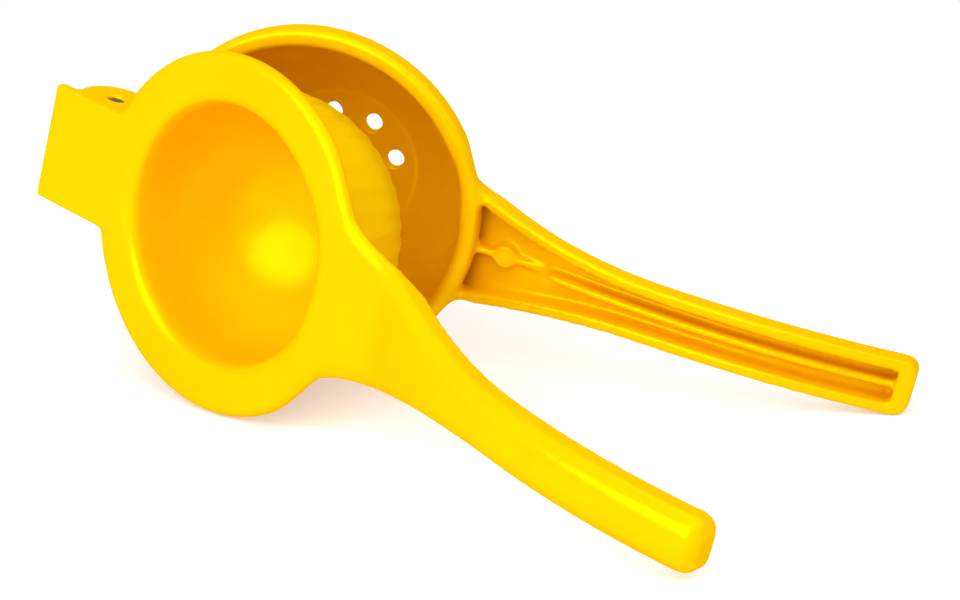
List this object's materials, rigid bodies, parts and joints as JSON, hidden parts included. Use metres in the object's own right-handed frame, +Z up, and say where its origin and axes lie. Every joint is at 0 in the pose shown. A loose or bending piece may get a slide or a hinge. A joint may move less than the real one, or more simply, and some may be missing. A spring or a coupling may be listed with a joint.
{
  "type": "hinged lemon squeezer",
  "caption": "Hinged lemon squeezer: a press dome on one lever arm closes into a drained bowl on the other, shown standing open on its side.",
  "frame": {"origin": "bottom centre of the whole squeezer's box as it stands open on its side", "axes": "+X towards the grips, +Z up from the surface it stands on, +Y from the press arm towards the bowl arm"},
  "size_m": [0.1948, 0.1324, 0.0803],
  "materials": {
    "enamel_press": "glossy yellow enamel over cast aluminium",
    "enamel_bowl": "glossy yellow enamel over cast aluminium",
    "pin_steel": "satin steel rivet pin"
  },
  "bodies": {
    "bowl_side": {"bowl_arm": "enamel_bowl"},
    "press_side": {"press_arm": "enamel_press", "hinge_pin": "pin_steel"}
  },
  "joints": [
    {"name": "lever_hinge", "type": "hinge", "parent": "bowl_side", "child": "press_side", "pos_m": [-0.08143, 0.01096, 0.05052], "axis": [0.2453, -0.0047, 0.9694], "range_deg": [-100, 31]}
  ]
}
